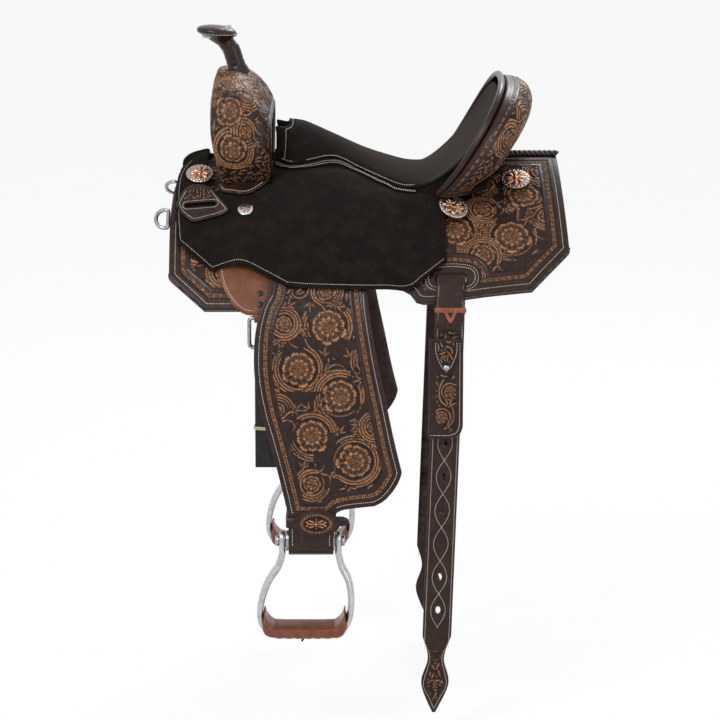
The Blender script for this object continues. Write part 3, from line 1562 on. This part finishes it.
def make_conchos():
    for part, x, s, radius in CONCHOS:
        for name, side in SIDES:
            at, normal = tilted_frame(x, s, side, radius)
            made = concho(radius, 0.0065 if radius > 0.02 else 0.0045,
                          24 if radius > 0.02 else 14, 12 if radius > 0.02 else 7)
            turn = Vector((0, 0, 1)).rotation_difference(normal).to_matrix().to_4x4()
            bmesh.ops.transform(made, matrix=Matrix.Translation(at) @ turn, verts=made.verts)
            mesh_object(part + "_" + name, to_mesh(made), "silver")


def make_keepers():
    """The latigo keeper: a shaped piece on the jockey with a slot for the strap's end."""
    shape = outline(
        [(-0.262, 0.100), (-0.246, 0.099), (-0.231, 0.106), (-0.216, 0.128), (-0.203, 0.150)],
        [(-0.203, 0.150), (-0.203, 0.158), (-0.222, 0.164), (-0.250, 0.173)],
        [(-0.250, 0.173), (-0.260, 0.172), (-0.276, 0.157), (-0.283, 0.142)],
        [(-0.283, 0.142), (-0.282, 0.134), (-0.272, 0.110), (-0.262, 0.100)],
    )
    slot = slot_outline(-0.246, 0.141, 0.024, 0.0042, radians(-6))
    for name, side in SIDES:
        lay("latigo_keeper_" + name, "tooled_leather", side, shape, 0.0040,
            lambda x, s: jockey_depth(x, s) + ON_JOCKEY + 2 * AIR, [slot])


def dee_ring(width, tall, corner, sides=4):
    """A dee's middle line in (u, v): a straight bar on top and a round bow below."""
    out = []
    half = width / 2
    for k in range(sides + 1):
        a = pi / 2 * k / sides
        out.append((half - corner + corner * sin(a), -corner + corner * cos(a)))
    for k in range(1, sides * 3):
        a = pi * k / (sides * 3)
        out.append((half * cos(a), -corner - (tall - corner) * sin(a)))
    for k in range(sides + 1):
        a = pi / 2 * k / sides
        out.append((-half + corner - corner * cos(a), -corner + corner * sin(a)))
    return out


RING_WIDTH = 0.056
RING_TALL = 0.046
RING_X = -0.1405
BREAST_DEE = (SKIRT_FRONT - DEE_WIRE - AIR, 0.158)


def make_dees():
    """Breast-collar dees at the front corners, rigging rings under the fenders."""
    for name, side in SIDES:
        x, s = BREAST_DEE
        angle = BACK.angle(s)
        y, z = BACK.at(s, SKIRT_OUT + 0.002)
        points = [(x + v, side * (y + u * cos(angle)), z - u * sin(angle))
                  for u, v in dee_ring(0.037, 0.019, 0.005)]
        swept("breast_dee_" + name, "steel", points, circle_section(DEE_WIRE, 6),
              (0, side * sin(angle), cos(angle)), True)
        y, z = ring_place()
        ring = rounded_loop(-RING_WIDTH / 2, RING_WIDTH / 2, -RING_TALL, 0, 0.006)
        points = [(RING_X + u, side * y, z + v) for u, v in ring]
        swept("rigging_dee_" + name, "steel", points, circle_section(DEE_WIRE, 8), (0, 1, 0), True)


LATIGO_WIDTH = 0.040
LATIGO_LEATHER = 0.0035
LATIGO_LOW = -0.4320


def make_latigo():
    """Near side: the latigo, doubled through the ring and tied up. Far side: the off billet."""
    y, z = ring_place()
    top = z - RING_TALL
    r = DEE_WIRE + AIR
    fall = top - LATIGO_LOW
    for node, side in (("latigo_left", -1), ("off_billet_right", 1)):
        path = Path(y - r, LATIGO_LOW, -pi / 2, [(fall, 0), (pi * r, 1 / r), (fall, 0)])
        shape = box_outline(RING_X - LATIGO_WIDTH / 2, RING_X + LATIGO_WIDTH / 2, 0, path.length)
        lay_on(node, "black_strap", side, shape, LATIGO_LEATHER, path)


def make_trim():
    """Cantle binding, the lacing over the rear skirt seam and the handhole's laced rim."""
    rim = []
    for turn in cantle_turns(2):
        n = away(turn)
        p = cantle_line(turn, 0)
        rim.append(p + n * -0.003 + (p - cantle_line(turn, 0.02)).normalized() * 0.0078)
    SWEEP_NORMAL[0] = Vector((0, 0, 1))
    made = bmesh.new()
    rings = []
    for k, p in enumerate(rim):
        way = (rim[min(k + 1, len(rim) - 1)] - rim[max(k - 1, 0)]).normalized()
        side_way = way.cross(Vector((0, 0, 1))).normalized()
        up = side_way.cross(way).normalized()
        rings.append([made.verts.new(p + side_way * 0.0052 * cos(tau * j / 8) + up * 0.0052 * sin(tau * j / 8))
                      for j in range(8)])
    for low, high in zip(rings, rings[1:]):
        for j in range(8):
            n = (j + 1) % 8
            made.faces.new((low[j], low[n], high[n], high[j]))
    made.faces.new(rings[0])
    made.faces.new(rings[-1])
    face_out(made)
    mesh_object("cantle_binding", to_mesh(made), "tooled_leather")
    make_skirt_lacing()


def make_skirt_lacing():
    """The plaited lacing that closes the skirts' seam behind the cantle."""
    count = 9
    rear = SKIRT_REAR - 0.010
    front = SKIRT_REAR - 0.098
    half = 0.012
    outer, inner = [], []
    for k in range(2 * count + 1):
        x = front + (rear - front) * k / (2 * count)
        puff = 0.0040 if k % 2 else 0.0024
        y, z = on_back(x, half, SKIRT_OUT + AIR)
        _, crown = on_back(x, 0.0, SKIRT_OUT + AIR)
        for t in (-1, -0.45, 0, 0.45, 1):
            yy = t * y
            base = crown + (z - crown) * max(abs(t) - 0.45, 0.0) / 0.55 + 0.0008
            inner.append((x, yy, base))
            outer.append((x, yy, base + puff * (1.15 - 0.5 * t * t)))
    made = closed_grid(2 * count + 1, outer, inner)
    mesh_object("skirt_lacing", to_mesh(made), "lace")


def hang(names, at):
    """Puts the origin of each piece on the axis that it turns about."""
    for name in names:
        thing = bpy.data.objects[name]
        thing.data.transform(Matrix.Translation(-Vector(at)))
        thing.location = at


def place_origins():
    for name, side in SIDES:
        y, z = FENDER_LINE.at(SWING_S, FENDER_LEATHER / 2)
        hang(["stirrup_leather_" + name], (STIRRUP_X, side * y, z))
        y, z = FENDER_LINE.at(SEAM, FENDER_LEATHER)
        hang(["fender_" + name, "hobble_strap_" + name, "stirrup_bolt_" + name],
             (STIRRUP_X, side * y, z))
        hang(["stirrup_frame_" + name, "stirrup_tread_" + name],
             (STIRRUP_X, side * bolt_y(), BOLT_Z))
        y, z = ring_place()
        hang(["rigging_dee_" + name], (RING_X, side * y, z))
        strap = "latigo_left" if side < 0 else "off_billet_right"
        hang([strap], (RING_X, side * y, z - RING_TALL))
        x, s = BREAST_DEE
        y, z = BACK.at(s, SKIRT_OUT + 0.002)
        hang(["breast_dee_" + name], (x, side * y, z))
        y, z = billet_pivot()
        hang(["billet_" + name, "billet_lace_" + name], (BILLET_X, side * y, z))
    y, z = billet_pivot()
    hang(["billet_pouch_left"], (BILLET_X, -y, z))
    y, z = flap_pivot()
    hang(["pouch_flap_left"], (BILLET_X, -y, z))


start()
make_skirts()
make_jockeys()
make_rigging()
make_bars()
make_fork()
make_horn()
make_seat()
make_cantle()
make_edging()
make_fenders()
make_billets()
make_pouch()
make_conchos()
make_keepers()
make_dees()
make_latigo()
make_trim()
place_origins()
print("pieces", sum(1 for o in bpy.data.objects if o.type == "MESH" and not o.hide_render))
